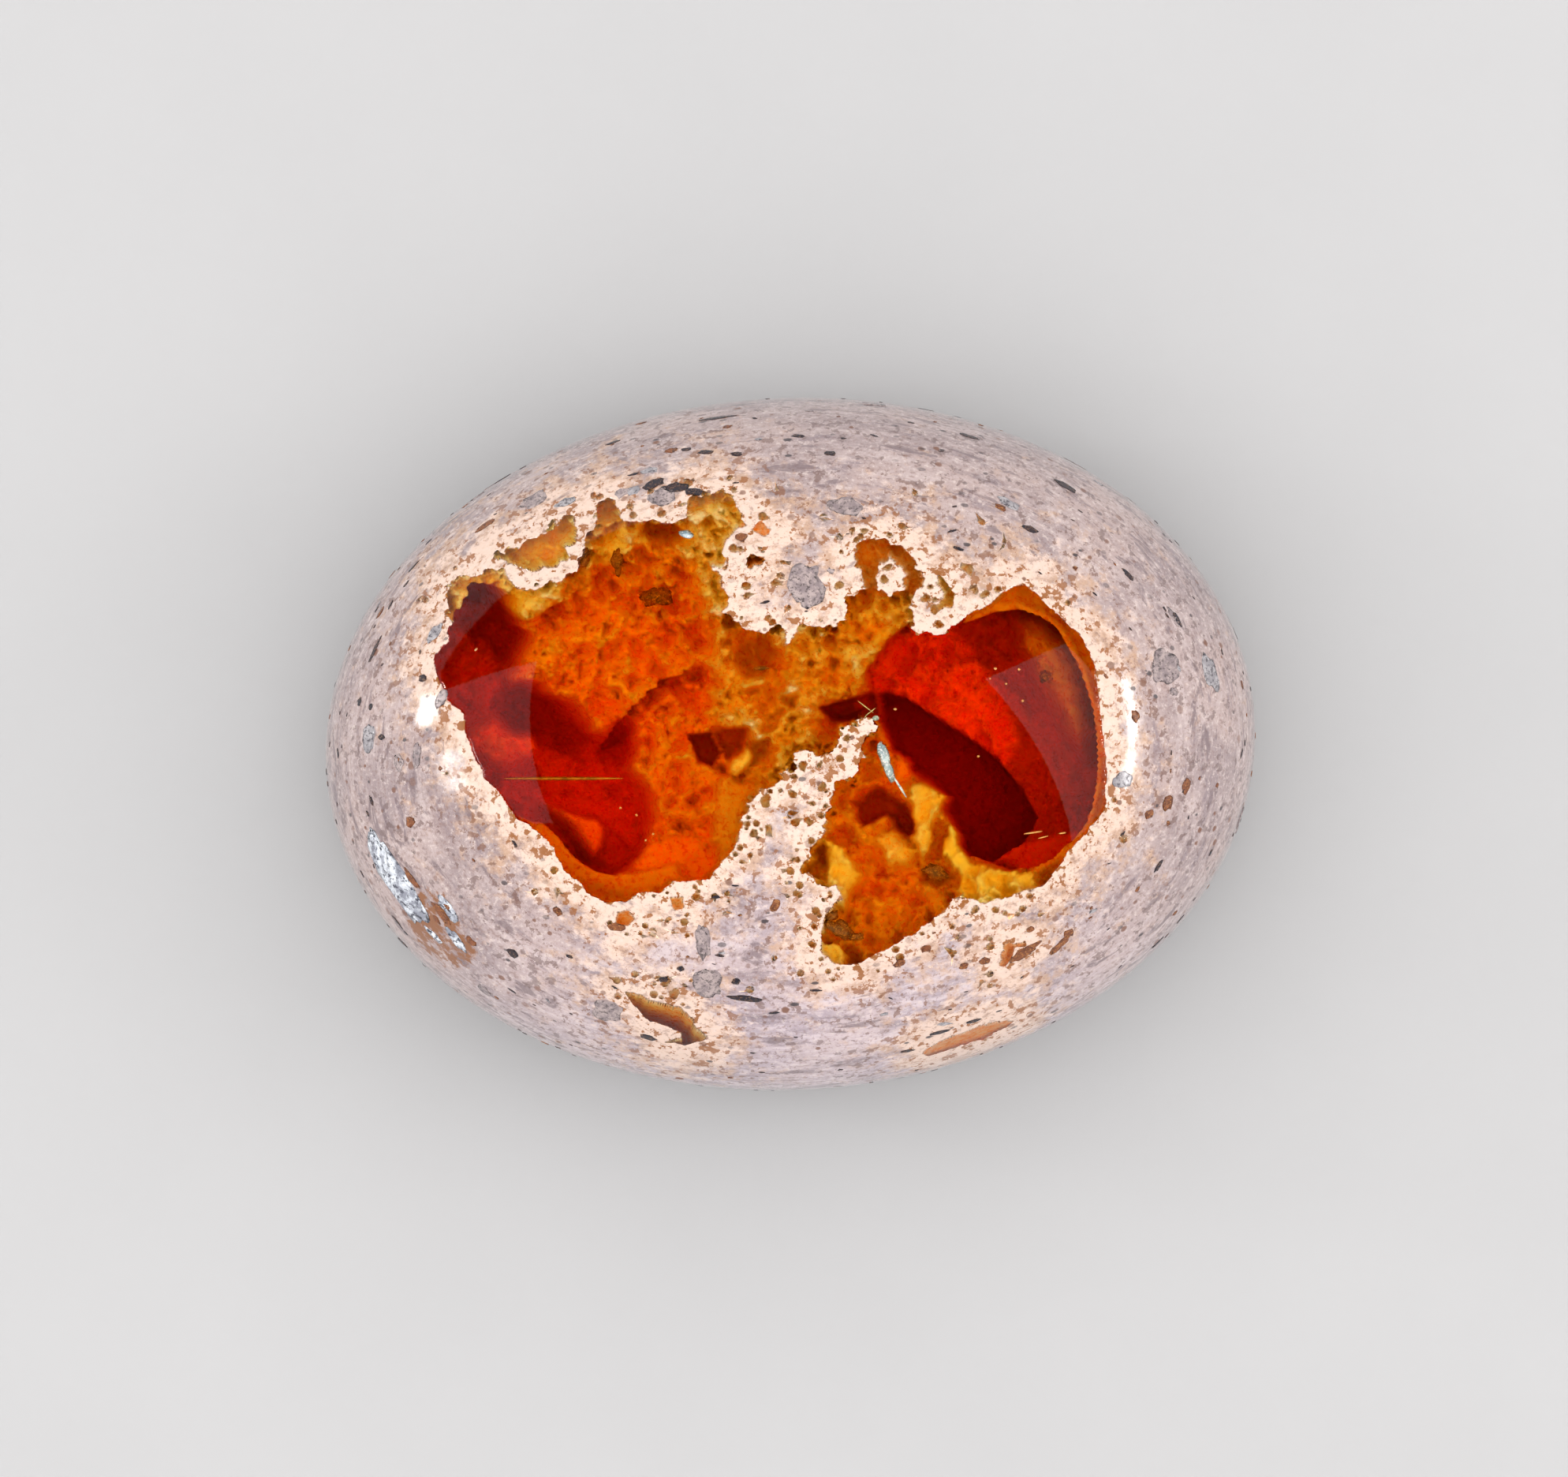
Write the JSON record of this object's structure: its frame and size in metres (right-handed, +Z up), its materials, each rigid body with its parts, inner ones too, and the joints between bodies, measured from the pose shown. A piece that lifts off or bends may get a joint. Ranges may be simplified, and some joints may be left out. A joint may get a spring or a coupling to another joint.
{
  "type": "fire opal cabochon in host rock",
  "caption": "Polished oval cabochon of transparent orange-red fire opal grown in speckled pale rock, with a high dome and a flat back to lie on.",
  "frame": {"origin": "centre of the flat back, on the surface that the stone lies on", "axes": "+X along the oval's long axis, +Y across it, +Z up through the crown of the dome"},
  "size_m": [0.0242, 0.018, 0.0104],
  "materials": {
    "host_rock": "polished, speckled",
    "fire_opal": "polished, transparent, orange to deep red"
  },
  "bodies": {
    "root": {"stone": "host_rock"}
  },
  "joints": []
}
